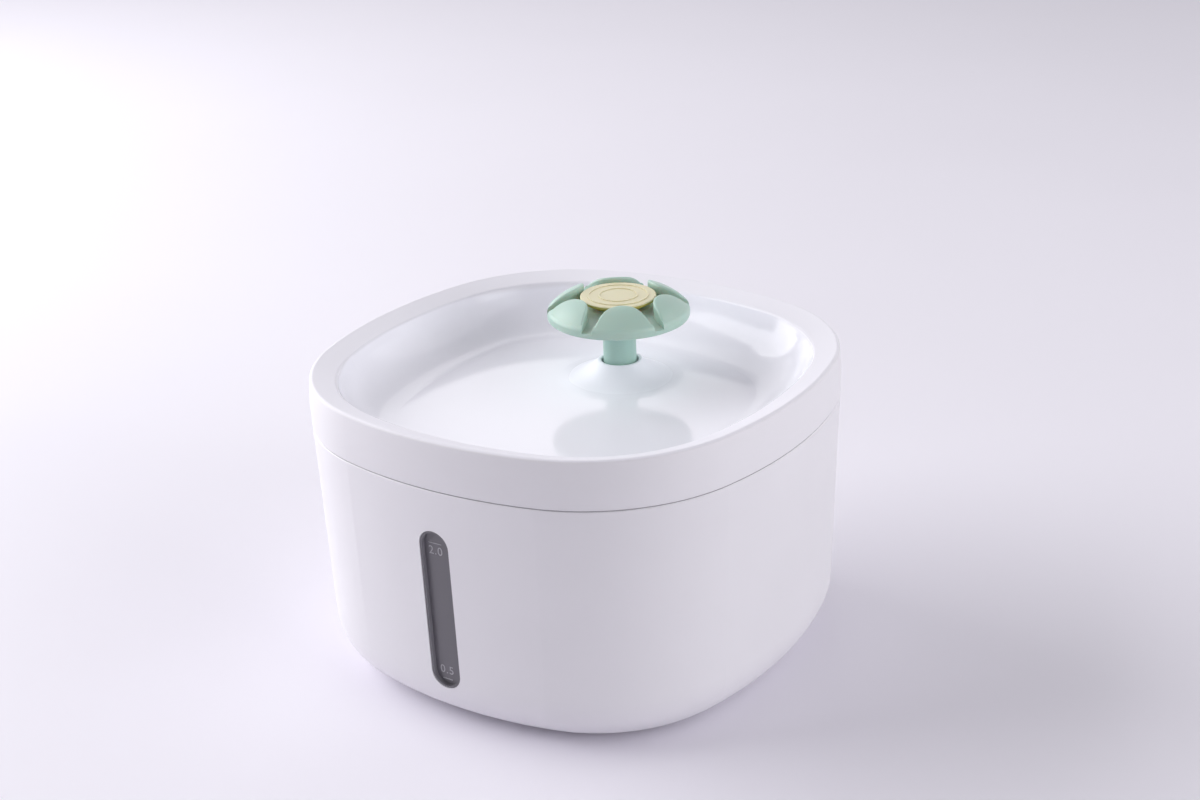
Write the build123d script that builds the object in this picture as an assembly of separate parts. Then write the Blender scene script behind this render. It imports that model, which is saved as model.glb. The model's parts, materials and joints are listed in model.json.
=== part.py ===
from build123d import *
import os
from math import atan, atan2, cos, degrees, radians, sin, sqrt, tan

# A free-standing pet water fountain: a rounded-square water tank, a drinking tray that closes it,
# and a flower nozzle that a small pump in the tank feeds. Millimetres, +Z up.
# The origin is the centre of the footprint on the surface the fountain stands on, and -Y is the front.

# ---- Outer form: a rounded square that leans inwards towards the bottom
HALF_WIDTH = 95.0            # centre to the middle of a side: the wall's line at the rim's height
SIDE_RADIUS = 163.5          # plan radius of the bowed sides, at that height
CORNER_RADIUS = 68.3         # plan radius of the corners, at that height
DRAFT = 2.0                  # lean of the outer wall, degrees
BODY_HEIGHT = 116.2          # underside of the shell to the rim
BAND_HEIGHT = 18.5           # the tray's part of that height
BOTTOM_ROUNDING = 21.4       # between the wall and the underside
SEAM_CHAMFER = 0.5           # on both edges of the seam between tank and tray

# ---- Tank
TANK_WALL = 2.8
PANEL_DEPTH = 0.6            # recessed panel in the underside
PANEL_MARGIN = 30.0          # from the flat underside's edge to that panel
STOP_RIB_HEIGHT = 1.8        # ribs on the floor that locate the pump's base plate
STOP_RIB_WALL = 1.6
STOP_RIB_LENGTH = 16.0
STOP_RIB_GAP = 0.5           # between the ribs and the base plate

# ---- Rubber feet
FOOT_PROUD = 1.5             # below the shell's underside
FOOT_RADIUS = 7.0
FOOT_RECESS = 1.0            # depth of the seat in the underside
FOOT_SEAT_GAP = 0.1          # round the foot in its seat
FOOT_MARGIN = 4.0            # from the foot to the flat underside's corner
FOOT_ROUNDING = 0.6

# ---- Water level window
WINDOW_WIDTH = 12.7
WINDOW_HEIGHT = 64.2
WINDOW_RISE = 17.4           # underside of the shell to the bottom of the window
WINDOW_RECESS = 0.2          # window's rim behind the wall's outer face
WINDOW_RIM = 0.7             # width of that rim round the sunken pane
WINDOW_POCKET = 1.8          # pane's face behind the wall's outer face
WINDOW_GAP = 0.15            # round the window in its slot
WINDOW_FLANGE = 2.6          # width of the flange that bears on the wall's inner face
FLANGE_THICKNESS = 1.6
GASKET_THICKNESS = 0.8

# ---- Cable outlet in the back edge of the tank
NOTCH_WIDTH = 8.0
NOTCH_DEPTH = 5.2            # seam to the centre of the notch's round bottom
CABLE_RADIUS = 2.2
GROMMET_GAP = 0.1            # round the grommet's neck in the notch
GROMMET_FLANGE = 1.3         # how far its flanges overlap the wall
GROMMET_INNER = 1.4          # thickness of the inner flange
GROMMET_SINK = 0.6           # how deep the outer flange's seat is cut into the wall
GROMMET_PROUD = 0.2          # how far that flange stands out from the wall

# ---- Drinking tray
BAND_WALL = 2.8
TRAY_WALL = 2.4              # land, bowl and cone
RIM_ROUNDING = 1.2
TUCK_HEIGHT = 9.0            # top part of the band, which leans inwards
TUCK_LEAN = 5.0              # of that part, degrees
TUCK_ROUNDING = 50.0         # between that part and the rest of the band
CREST_INSET = 2.4            # line of the leaning outer wall to the top of the land
LAND_INSET = 10.8            # the same line to the land's inner edge
LAND_DROP = 2.7              # the land slopes down inwards by this much
LAND_ROUNDING = 1.2          # between the land and the bowl
BASIN_DEPTH = 20.0           # rim to the bowl's floor
BOWL_LEAN = 22.0             # of the bowl's wall, degrees
BOWL_ROUNDING = 22.0         # between the bowl's wall and floor
LIP_GAP = 0.4                # locating lip to the tank's wall
LIP_WALL = 1.8
LIP_DEPTH = 5.0              # below the seam
LIP_ROOT = 5.0               # above the seam
LIP_NOTCH_GAP = 1.5          # each side of the grommet
RIB_COUNT = 12               # stiffening ribs between the band and the bowl
RIB_THICKNESS = 1.6
RIB_RISE = 5.0               # seam to the ribs' lower edge

# ---- Cone in the bowl, with the socket that the flower's stem stands in
FLOWER_Y = 30.0              # the flower's axis, behind the centre
CONE_HEIGHT = 7.5            # above the bowl's floor
CONE_FOOT_RADIUS = 25.0
CONE_TOP_RADIUS = 8.6
STEM_HOLE_RADIUS = 7.3
CONE_LIP_ROUNDING = 0.5
SLEEVE_WALL = 1.6
SOCKET_DEPTH = 23.0          # top of the cone to the floor that the stem stands on
SOCKET_FLOOR = 2.0
GUIDE_COUNT = 4              # upright ribs that centre the stem and leave room for returning water
GUIDE_WIDTH = 1.6
GUIDE_GAP = 0.15             # between the guides and the stem
GUIDE_DROP = 3.0             # top of the cone to the top of the guides
DRAIN_WIDTH = 5.0            # openings in the sleeve that let the water out on to the filter
DRAIN_HEIGHT = 6.0

# ---- Filter basket under the tray
BASKET_RADIUS = 38.0
BASKET_HEIGHT = 24.0
BASKET_WALL = 1.8
BASKET_FLOOR = 2.0
BASKET_SEAT_GAP = 0.3        # its top edge to the tray's underside
BASKET_FIT = 0.15            # its wall to the tray's collar
COLLAR_WALL = 1.8
COLLAR_DEPTH = 6.0           # below the tray's underside
CHIMNEY_GAP = 0.7            # its chimney to the sleeve
CHIMNEY_WALL = 1.4
CHIMNEY_DROP = 7.0           # basket's top edge to the chimney's top
GRID_SLOT = 3.0              # width of the slots in its floor
GRID_RINGS = (17.5, 24.0, 30.5)   # radii of the rings of slots
GRID_COUNT = 8               # slots in a ring
GRID_ARC = 33.0              # length of a slot, degrees

# ---- Filter cartridge
CARTRIDGE_GAP = 0.6          # to the basket's wall and chimney
CARTRIDGE_WALL = 1.2
CARTRIDGE_HEIGHT = 14.0
SPOKE_COUNT = 6
SPOKE_WIDTH = 2.0
SPOKE_HEIGHT = 1.2
LAYER_GAP = 0.3              # round each soft layer
COTTON_THICKNESS = 2.5
RESIN_THICKNESS = 3.0
CARBON_THICKNESS = 3.0

# ---- Flower: stem, petals and centre
STEM_RADIUS = 6.5
STEM_WALL = 1.5
STEM_CHAMFER = 0.6
SEAL_HEIGHT = 4.0
SEAL_SEAT = 0.7              # how far the seal's seat is cut into the stem's wall
SEAL_GAP = 0.05              # seal to the stem and to the outlet tube
HEAD_RISE = 25.2             # bowl's floor to the petals' lower edge
HEAD_RADIUS = 27.8
HEAD_BAND = 1.4              # upright part of the petals' edge
HEAD_EDGE_ROUNDING = 1.0     # below that part
SHOULDER_INSET = 1.2         # rounding above it, inwards
SHOULDER_RISE = 2.2          # and upwards
HUB_WALL = 1.7
HUB_GAP = 0.08               # hub to the stem
PLATE_RISE = 5.0             # petals' lower edge to the plate round the centre
PLATE_RADIUS = 13.0
PLATE_THICKNESS = 1.6
CHANNEL_RISE = 2.0           # petals' lower edge to the end of a channel
PETAL_COUNT = 6
PETAL_TURN = -53.5           # direction of the first petal, degrees from +X
PETAL_RISE = 10.4            # petals' lower edge to their tips
PETAL_TIP = 16.0             # axis to the petals' tips
PETAL_TIP_ROUNDING = 9.8     # plan radius of a petal's end
PETAL_FLARE = 39.0           # angle between a petal's side and its middle line, degrees
PETAL_BULGE = 0.9            # how far a petal's back stands out from a straight slope
PETAL_SOFTNESS = 0.8         # rounding of a petal's upper edges
CAP_RADIUS = 14.8
CAP_THICKNESS = 1.15
CAP_RISE = 2.6               # plate to the underside of the cap
CAP_ROUNDING = 0.45
SKIRT_RADIUS = 12.0
SKIRT_WALL = 1.4
SKIRT_GAP = 0.9              # under the skirt, where the water runs out
POST_GAP = 0.15              # post to the stem's bore
POST_LENGTH = 8.0
POST_FIN = 1.6               # thickness of the post's crossed fins
POST_SHOULDER = 1.8          # how far the fins rest on the plate round the bore
RELIEF = 0.25                # height of the raised rings on the cap
RELIEF_RINGS = (11.6, 7.4)   # their radii
RELIEF_WIDTH = 0.7

# ---- Pump, with its axis along X and its intake facing -X
OUTLET_OFFSET = 6.5          # pump's axis to the outlet's axis
PUMP_WIDTH = 36.0
PUMP_HEIGHT = 30.0
PUMP_CORNER = 5.0
PUMP_TAIL = 35.0             # length of the motor behind the impeller's chamber
CHAMBER_RADIUS = 11.5
CHAMBER_WIDTH = 8.0
WELL_RADIUS = 7.2            # the rotor's well
WELL_DEPTH = 17.0
WELL_WALL = 1.3
COIL_ROOM_WALL = 2.2         # pump's wall round the motor
COIL_ROOM_START = 2.0        # impeller's chamber to the front of the motor's room
TAIL_RIM = 0.8               # the resin lies this far inside the tail
DUCT_RADIUS = 3.0
BOSS_WALL = 2.2
BOSS_HEIGHT = 5.0
TUBE_RADIUS = 3.9
TUBE_WALL = 1.0
TUBE_FIT = 0.05              # outlet tube in its socket
TUBE_SOCKET = 8.0
TUBE_COLLAR = 1.5            # width and thickness of the tube's collar
TUBE_REACH = 8.0             # how far the tube goes up inside the stem
TUBE_HOLE_GAP = 0.5          # in the socket's floor
COVER_THICKNESS = 2.4
INTAKE_INNER = 4.6
INTAKE_OUTER = 9.2
INTAKE_COUNT = 3
INTAKE_ARC = 50.0            # degrees
COVER_HUB_RADIUS = 3.6
COVER_HUB_DEPTH = 0.5        # into the chamber
STUD_RADIUS = 2.4
STUD_HEAD = 3.4
STUD_HEAD_THICKNESS = 1.0

# ---- Flow dial on the front cover
DIAL_RADIUS = 10.6
DIAL_THICKNESS = 1.6
DIAL_GAP = 0.15              # in front of it and behind it
DIAL_FIT = 0.08              # on its stud
DIAL_TAB = 13.6              # reach of the finger tab
DIAL_TAB_WIDTH = 3.0
DIAL_TRAVEL = 60.0           # degrees from open to shut
STOP_RADIUS = 0.9
STOP_REACH = 12.4            # axis to the two stops

# ---- Impeller, rotor and shaft
SHAFT_RADIUS = 1.25
SHAFT_FIT = 0.05             # impeller on its shaft
BUSH_RADIUS = 2.5
BUSH_LENGTH = 2.4
BUSH_FIT = 0.05              # bush in its seat and on the shaft
IMPELLER_RADIUS = 10.4
IMPELLER_GAP = 0.8           # at each end of the chamber
IMPELLER_DISC = 1.4
BLADE_COUNT = 6
BLADE_THICKNESS = 1.2
IMPELLER_HUB = 2.7
MAGNET_RADIUS = 6.5
MAGNET_LENGTH = 14.0
MAGNET_FIT = 0.05

# ---- Motor
POLE_THICKNESS = 3.4
POLE_GAP = 0.3               # pole to the well's wall
CORE_WIDTH = 12.0
YOKE_LENGTH = 4.0
COIL_WALL = 3.6              # winding round the yoke
COIL_GAP = 0.3
RESIN_GAP = 0.2              # behind the coil

# ---- Lead's boot on the pump
BOOT_RADIUS = 3.4
BOOT_END_RADIUS = 2.6
BOOT_LENGTH = 7.0
BOOT_ROOT = 1.4              # length inside the resin
BOOT_BORE = 1.6
BOOT_DROP = 4.0              # below the pump's axis

# ---- Suction cups
CUP_HEIGHT = 5.0
CUP_RADIUS = 6.0
CUP_NECK = 2.6
CUP_WALL = 1.2
CUP_PEG_RADIUS = 1.8
CUP_PEG_LENGTH = 2.0
CUP_MARGIN = 8.0             # from the pump's ends and sides
CUP_FIT = 0.1

# ---- Base plate, sponge and cage round the pump
BASE_THICKNESS = 2.0
BASE_LIP_HEIGHT = 3.0
BASE_LIP_WALL = 1.4
BASE_LIP_FIT = 0.25
CAGE_WALL = 1.8
CAGE_CORNER = 8.0
CAGE_HEIGHT = 46.0
CAGE_FRONT_ROOM = 9.0        # in front of the dial's stud
CAGE_SIDE_ROOM = 9.0
CAGE_SLOT = 4.0
CAGE_SLOT_PITCH = 12.0
CAGE_SLOT_HEIGHT = 26.0
CAGE_SLOT_RISE = 9.0         # cage's lower edge to the slots
CAGE_TUBE_GAP = 0.8          # round the tube's collar
LEAD_NOTCH_WIDTH = 8.0
SPONGE_GAP = 0.4
SPONGE_PUMP_GAP = 0.8
SPONGE_HEIGHT = 37.0

OVERCUT = 1.0                # how far a cutting tool runs past the face it opens

# ---- Heights and places that follow from the sizes above
SHELL_Z = FOOT_PROUD
FLOOR_Z = SHELL_Z + TANK_WALL
RIM_Z = SHELL_Z + BODY_HEIGHT
SEAM_Z = RIM_Z - BAND_HEIGHT
TUCK_Z = RIM_Z - TUCK_HEIGHT
LAND_Z = RIM_Z - LAND_DROP
BASIN_Z = RIM_Z - BASIN_DEPTH
TRAY_UNDER_Z = BASIN_Z - TRAY_WALL
CONE_Z = BASIN_Z + CONE_HEIGHT
SOCKET_Z = CONE_Z - SOCKET_DEPTH
SLEEVE_RADIUS = STEM_HOLE_RADIUS + SLEEVE_WALL
BASKET_TOP_Z = TRAY_UNDER_Z - BASKET_SEAT_GAP
BASKET_Z = BASKET_TOP_Z - BASKET_HEIGHT
CHIMNEY_INNER = SLEEVE_RADIUS + CHIMNEY_GAP
CHIMNEY_OUTER = CHIMNEY_INNER + CHIMNEY_WALL
CARTRIDGE_Z = BASKET_Z + BASKET_FLOOR
CARTRIDGE_OUTER = BASKET_RADIUS - BASKET_WALL - CARTRIDGE_GAP
CARTRIDGE_INNER = CHIMNEY_OUTER + CARTRIDGE_GAP
STEM_BORE = STEM_RADIUS - STEM_WALL
HEAD_Z = BASIN_Z + HEAD_RISE
PLATE_Z = HEAD_Z + PLATE_RISE
STEM_TOP_Z = PLATE_Z - PLATE_THICKNESS
CAP_Z = PLATE_Z + CAP_RISE
BASE_TOP_Z = FLOOR_Z + BASE_THICKNESS
PUMP_Y = FLOWER_Y - OUTLET_OFFSET
PUMP_BOTTOM_Z = BASE_TOP_Z + CUP_HEIGHT
PUMP_Z = PUMP_BOTTOM_Z + PUMP_HEIGHT / 2
PUMP_TOP_Z = PUMP_BOTTOM_Z + PUMP_HEIGHT
PUMP_FRONT_X = -CHAMBER_WIDTH / 2
WELL_X = CHAMBER_WIDTH / 2
WELL_END_X = WELL_X + WELL_DEPTH
PUMP_END_X = WELL_X + PUMP_TAIL
COVER_FRONT_X = PUMP_FRONT_X - COVER_THICKNESS
DIAL_X = COVER_FRONT_X - DIAL_GAP
STUD_HEAD_X = DIAL_X - DIAL_THICKNESS - DIAL_GAP
STUD_END_X = STUD_HEAD_X - STUD_HEAD_THICKNESS
BOSS_RADIUS = TUBE_RADIUS + BOSS_WALL
BOSS_Z = PUMP_TOP_Z + BOSS_HEIGHT
CAGE_FRONT_X = STUD_END_X - CAGE_FRONT_ROOM
CAGE_BACK_X = PUMP_END_X + CAGE_SIDE_ROOM
CAGE_X = (CAGE_FRONT_X + CAGE_BACK_X) / 2
CAGE_LENGTH = CAGE_BACK_X - CAGE_FRONT_X
CAGE_WIDTH = PUMP_WIDTH + 2 * CAGE_SIDE_ROOM
BOOT_Z = PUMP_Z - BOOT_DROP
POLE_X = WELL_X + COIL_ROOM_START + POLE_GAP
POLE_INNER = WELL_RADIUS + WELL_WALL + POLE_GAP
YOKE_X = WELL_END_X + BUSH_LENGTH + WELL_WALL + COIL_WALL + 2 * COIL_GAP
YOKE_END_X = YOKE_X + YOKE_LENGTH
FROM_BELOW = (Align.CENTER, Align.CENTER, Align.MIN)


# ---------------------------------------------------------------- shared shapes
def corner_centre():
    """Distance from the middle, along X and along Y alike, of a corner arc's centre."""
    side_centre = HALF_WIDTH - SIDE_RADIUS
    reach = SIDE_RADIUS - CORNER_RADIUS
    return (side_centre + sqrt(2 * reach ** 2 - side_centre ** 2)) / 2


def outline(inset, height):
    """Rounded-square face at a height, moved in by inset from the leaning outer wall."""
    shrink = inset + (RIM_Z - height) * tan(radians(DRAFT))
    side_centre = HALF_WIDTH - SIDE_RADIUS
    corner = corner_centre()
    side_half = degrees(atan2(corner, corner - side_centre))
    arcs = []
    for quarter in range(4):
        side_arc = CenterArc((side_centre, 0), SIDE_RADIUS - shrink, -side_half, 2 * side_half)
        corner_arc = CenterArc((corner, corner), CORNER_RADIUS - shrink, side_half, 90 - 2 * side_half)
        arcs += [Rot(0, 0, 90 * quarter) * side_arc, Rot(0, 0, 90 * quarter) * corner_arc]
    return Pos(0, 0, height) * make_face(arcs)


def drum(inset, bottom, top, rounding=0.0):
    """The outer form moved in by inset, between two heights, with its bottom edge rounded."""
    solid = extrude(outline(inset, bottom), top - bottom, taper=-DRAFT)
    if rounding:
        solid = fillet(solid.edges().group_by(Axis.Z)[0], rounding)
    return solid


def hull(inset, top=SEAM_Z):
    """The tank's outer form moved in by inset on every side."""
    return drum(inset, SHELL_Z + inset, top, BOTTOM_ROUNDING - inset)


def disc(radius, bottom, top, x=0.0, y=FLOWER_Y):
    """Upright cylinder between two heights."""
    return Pos(x, y, bottom) * Cylinder(radius, top - bottom, align=FROM_BELOW)


def ring(outer, inner, bottom, top):
    """Upright ring round the flower's axis."""
    return disc(outer, bottom, top) - disc(inner, bottom - OVERCUT, top + OVERCUT)


def bar(radius, start, end, y=PUMP_Y, z=PUMP_Z):
    """Cylinder along X between two places."""
    return Pos(start, y, z) * Rot(0, 90, 0) * Cylinder(radius, end - start, align=FROM_BELOW)


def block(x, y, z):
    """Box between the two ends given for each axis."""
    size = [high - low for low, high in (x, y, z)]
    return Pos(x[0], y[0], z[0]) * Box(*size, align=(Align.MIN, Align.MIN, Align.MIN))


def spin(edges):
    """Solid turned about the flower's axis from edges drawn as (radius, height)."""
    return Pos(0, FLOWER_Y, 0) * revolve(Plane.XZ * make_face(edges), Axis.Z)


def rounded_prism(margin, bottom, top):
    """Upright block with the cage's inside outline, grown by margin."""
    face = RectangleRounded(CAGE_LENGTH + 2 * margin, CAGE_WIDTH + 2 * margin, CAGE_CORNER + margin)
    return extrude(Pos(CAGE_X, PUMP_Y, bottom) * face, top - bottom)


def pump_prism(margin, start, end):
    """Block along X with the pump's outline, grown by margin."""
    face = RectangleRounded(PUMP_WIDTH + 2 * margin, PUMP_HEIGHT + 2 * margin, PUMP_CORNER + margin)
    return extrude(Pos(start, PUMP_Y, PUMP_Z) * (Plane.YZ * face), end - start)


def sector(outer, inner, arc, start, end, turn):
    """Part of a ring along X, for the intake and the dial, centred on a direction in the YZ plane."""
    shape = make_face([
        CenterArc((0, 0), outer, -arc / 2, arc),
        Line(Vector(outer, 0).rotate(Axis.Z, arc / 2), Vector(inner, 0).rotate(Axis.Z, arc / 2)),
        CenterArc((0, 0), inner, arc / 2, -arc),
        Line(Vector(inner, 0).rotate(Axis.Z, -arc / 2), Vector(outer, 0).rotate(Axis.Z, -arc / 2)),
    ])
    return extrude(Pos(start, PUMP_Y, PUMP_Z) * (Plane.YZ * (Rot(0, 0, turn) * shape)), end - start)


# ---------------------------------------------------------------- tank
def window_prism(grow):
    """Upright stadium through the front wall, grown by grow from the window's slot."""
    centre = SHELL_Z + WINDOW_RISE + WINDOW_HEIGHT / 2
    face = SlotOverall(WINDOW_HEIGHT + 2 * grow, WINDOW_WIDTH + 2 * grow, rotation=90)
    return extrude(Plane.XZ * (Pos(0, centre) * face), HALF_WIDTH + OVERCUT)


def notch_prism(grow):
    """U-shaped prism through the back wall, grown by grow from the cable notch."""
    half = NOTCH_WIDTH / 2 + grow
    centre = SEAM_Z - NOTCH_DEPTH
    upper = Pos(0, centre) * Rectangle(2 * half, NOTCH_DEPTH + OVERCUT, align=(Align.CENTER, Align.MIN))
    face = Pos(0, centre) * Circle(half) + upper
    return extrude(Plane.XZ * face, -HALF_WIDTH - OVERCUT)


def foot_places():
    """Centres of the four feet, inside the corners of the flat underside."""
    shrink = (RIM_Z - SHELL_Z) * tan(radians(DRAFT)) + BOTTOM_ROUNDING
    reach = corner_centre() * sqrt(2) + CORNER_RADIUS - shrink
    return PolarLocations(reach - FOOT_MARGIN - FOOT_RADIUS, 4, start_angle=45)


def stop_ribs():
    """Four straight ribs on the tank's floor, one beside each edge of the pump's base plate."""
    root = TANK_WALL / 2
    size = (STOP_RIB_LENGTH, STOP_RIB_WALL, root + STOP_RIB_HEIGHT)
    rib = Box(*size, align=FROM_BELOW)
    clear = CAGE_WALL + STOP_RIB_GAP + STOP_RIB_WALL / 2
    ribs = []
    for turn, reach in ((0, CAGE_WIDTH / 2), (90, CAGE_LENGTH / 2)):
        for side in (-1, 1):
            place = Pos(CAGE_X, PUMP_Y, FLOOR_Z - root) * Rot(0, 0, turn)
            ribs.append(place * Pos(0, side * (reach + clear), 0) * rib)
    return ribs


def water_tank():
    tank = hull(0)
    tank = chamfer(tank.edges().group_by(Axis.Z)[-1], SEAM_CHAMFER)
    tank -= hull(TANK_WALL, SEAM_Z + OVERCUT)
    for rib in stop_ribs():
        tank += rib
    tank -= window_prism(0)
    tank -= notch_prism(0)
    tank -= notch_prism(GROMMET_FLANGE + GROMMET_GAP) - hull(GROMMET_SINK)
    panel = outline(BOTTOM_ROUNDING + PANEL_MARGIN, SHELL_Z)
    tank -= extrude(panel, PANEL_DEPTH)
    for place in foot_places():
        seat = Cylinder(FOOT_RADIUS + FOOT_SEAT_GAP, FOOT_RECESS, align=FROM_BELOW)
        tank -= Pos(0, 0, SHELL_Z) * place * seat
    return tank


def rubber_feet():
    foot = Cylinder(FOOT_RADIUS, FOOT_PROUD + FOOT_RECESS, align=FROM_BELOW)
    foot = fillet(foot.edges().group_by(Axis.Z)[0], FOOT_ROUNDING)
    return [place * foot for place in foot_places()]


def level_window():
    """Smoked window: a sunken pane in a rim that fills the slot, and a flange behind the gasket."""
    back = TANK_WALL + GASKET_THICKNESS + FLANGE_THICKNESS
    boss = window_prism(-WINDOW_GAP) & hull(WINDOW_RECESS)
    boss -= window_prism(-WINDOW_GAP - WINDOW_RIM) - hull(WINDOW_POCKET)
    flange = window_prism(WINDOW_FLANGE) & hull(TANK_WALL + GASKET_THICKNESS)
    return boss + flange - hull(back)


def window_gasket():
    band = window_prism(WINDOW_FLANGE) - window_prism(0)
    return (band & hull(TANK_WALL)) - hull(TANK_WALL + GASKET_THICKNESS)


def cable_grommet():
    """Rubber grommet in the notch: a neck between two flanges, with the cable's bore."""
    neck = notch_prism(-GROMMET_GAP)
    rim = notch_prism(GROMMET_FLANGE)
    outer_face = hull(-GROMMET_PROUD)
    inner_face = hull(TANK_WALL + GROMMET_INNER)
    inner = (rim & hull(TANK_WALL)) - inner_face
    outer = (rim & outer_face) - hull(GROMMET_SINK)
    body = (neck & outer_face) - inner_face
    cable = Plane.XZ * (Pos(0, SEAM_Z - NOTCH_DEPTH) * Circle(CABLE_RADIUS))
    return body + inner + outer - extrude(cable, -HALF_WIDTH - OVERCUT)


# ---------------------------------------------------------------- drinking tray
def bowl(grow):
    """The bowl's hollow, grown outwards by grow, up to the height of the rim."""
    bottom = BASIN_Z - grow
    lean = radians(BOWL_LEAN)
    inset = LAND_INSET + (LAND_Z - bottom) * tan(lean) - grow / cos(lean)
    base = Pos(0, 0, bottom - RIM_Z) * outline(inset, RIM_Z)
    solid = extrude(base, RIM_Z - bottom, taper=-BOWL_LEAN)
    return fillet(solid.edges().group_by(Axis.Z)[0], BOWL_ROUNDING + grow)


def above_land(drop):
    """The space above the sloping land, lowered by drop."""
    lean = degrees(atan((LAND_INSET - CREST_INSET) / LAND_DROP))
    base = Pos(0, 0, -LAND_DROP - drop) * outline(LAND_INSET, RIM_Z)
    return extrude(base, LAND_DROP + drop + OVERCUT, taper=-lean)


def cone_flare_radius():
    """Radius of the hollow curve from the bowl's floor up to the cone's top."""
    run = CONE_FOOT_RADIUS - CONE_TOP_RADIUS
    return (run ** 2 + CONE_HEIGHT ** 2) / (2 * CONE_HEIGHT)


def cone():
    """Trumpet-shaped cone with the stem's hole, solid down to the tray's underside."""
    flare = TangentArc((CONE_FOOT_RADIUS, BASIN_Z), (CONE_TOP_RADIUS, CONE_Z), tangent=(-1, 0))
    rest = Polyline(
        (CONE_TOP_RADIUS, CONE_Z),
        (0, CONE_Z),
        (0, TRAY_UNDER_Z),
        (CONE_FOOT_RADIUS, TRAY_UNDER_Z),
        (CONE_FOOT_RADIUS, BASIN_Z),
    )
    solid = spin([flare, *rest.edges()]) - disc(STEM_HOLE_RADIUS, SOCKET_Z, CONE_Z + OVERCUT)
    return fillet(solid.edges().group_by(Axis.Z)[-1], CONE_LIP_ROUNDING)


def cone_hollow():
    """The space under the cone, outside the sleeve."""
    radius = cone_flare_radius() + TRAY_WALL
    run = CONE_FOOT_RADIUS - SLEEVE_RADIUS
    top = TRAY_UNDER_Z + radius - sqrt(radius ** 2 - run ** 2)
    flare = TangentArc((CONE_FOOT_RADIUS, TRAY_UNDER_Z), (SLEEVE_RADIUS, top), tangent=(-1, 0))
    rest = Polyline(
        (SLEEVE_RADIUS, top),
        (SLEEVE_RADIUS, TRAY_UNDER_Z - OVERCUT),
        (CONE_FOOT_RADIUS, TRAY_UNDER_Z - OVERCUT),
        (CONE_FOOT_RADIUS, TRAY_UNDER_Z),
    )
    return spin([flare, *rest.edges()])


def stem_space():
    """What is cut out of the cone and sleeve: the stem's hole, less the guides, and the drains."""
    hole = disc(STEM_HOLE_RADIUS, SOCKET_Z, CONE_Z + OVERCUT)
    reach = STEM_RADIUS + GUIDE_GAP
    guide_top = CONE_Z - GUIDE_DROP
    depth = STEM_HOLE_RADIUS - reach + OVERCUT
    guide = Pos(reach, 0, SOCKET_Z) * Box(
        depth, GUIDE_WIDTH, guide_top - SOCKET_Z, align=(Align.MIN, Align.CENTER, Align.MIN))
    drain = Pos(STEM_RADIUS, 0, TRAY_UNDER_Z - DRAIN_HEIGHT) * Box(
        SLEEVE_WALL + SLEEVE_RADIUS - STEM_RADIUS, DRAIN_WIDTH, DRAIN_HEIGHT,
        align=(Align.MIN, Align.CENTER, Align.MIN))
    half_pitch = 180 / GUIDE_COUNT
    for index in range(GUIDE_COUNT):
        turn = Pos(0, FLOWER_Y, 0) * Rot(0, 0, 2 * half_pitch * index)
        hole -= turn * guide
        hole += turn * Rot(0, 0, half_pitch) * drain
    return hole + disc(TUBE_RADIUS + TUBE_HOLE_GAP, SOCKET_Z - SOCKET_FLOOR - OVERCUT, SOCKET_Z + OVERCUT)


def locating_lip():
    """Lip that drops inside the tank's wall, thickened into the band above the seam."""
    outer = TANK_WALL + LIP_GAP
    bottom = SEAM_Z - LIP_DEPTH
    lip = drum(outer, bottom, SEAM_Z) + drum(BAND_WALL / 2, SEAM_Z, SEAM_Z + LIP_ROOT)
    lip -= drum(outer + LIP_WALL, bottom - OVERCUT, SEAM_Z + LIP_ROOT + OVERCUT)
    half = NOTCH_WIDTH / 2 + GROMMET_FLANGE + LIP_NOTCH_GAP
    return lip - block((-half, half), (HALF_WIDTH / 2, HALF_WIDTH), (bottom - OVERCUT, SEAM_Z))


def band_ribs():
    """Upright stiffening ribs between the band and the bowl."""
    plate = Box(HALF_WIDTH, RIB_THICKNESS, BAND_HEIGHT, align=(Align.MIN, Align.CENTER, Align.MIN))
    room = drum(BAND_WALL / 2, SEAM_Z + RIB_RISE, RIM_Z - TRAY_WALL)
    ribs = [place * plate for place in PolarLocations(HALF_WIDTH / 2, RIB_COUNT, start_angle=15)]
    return [room & (Pos(0, 0, SEAM_Z) * rib) for rib in ribs]


def band_form():
    """The tray's outer form: the band carries on the tank's wall and then leans inwards to the rim."""
    form = drum(0, SEAM_Z, TUCK_Z) + extrude(outline(0, TUCK_Z), TUCK_HEIGHT, taper=TUCK_LEAN)
    knee = form.edges().filter_by_position(Axis.Z, TUCK_Z - 0.01, TUCK_Z + 0.01)
    form = fillet(knee, TUCK_ROUNDING)
    form = fillet(form.edges().group_by(Axis.Z)[-1], RIM_ROUNDING)
    return chamfer(form.edges().group_by(Axis.Z)[0], SEAM_CHAMFER)


def drinking_tray():
    tray = band_form()
    tray -= drum(BAND_WALL, SEAM_Z - OVERCUT, RIM_Z - TRAY_WALL) - above_land(TRAY_WALL)
    tray += locating_lip()
    for rib in band_ribs():
        tray += rib
    tray += bowl(TRAY_WALL)
    collar_inner = BASKET_RADIUS + BASKET_FIT
    tray += ring(collar_inner + COLLAR_WALL, collar_inner, TRAY_UNDER_Z - COLLAR_DEPTH, BASIN_Z)
    wet = bowl(0) + above_land(0)
    land_edge = wet.edges().filter_by_position(Axis.Z, LAND_Z - 0.01, LAND_Z + 0.01)
    wet = fillet(land_edge, LAND_ROUNDING)
    tray -= wet
    tray += cone()
    tray += disc(SLEEVE_RADIUS, SOCKET_Z - SOCKET_FLOOR, CONE_Z - GUIDE_DROP)
    tray -= cone_hollow()
    tray -= stem_space()
    return tray


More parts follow.
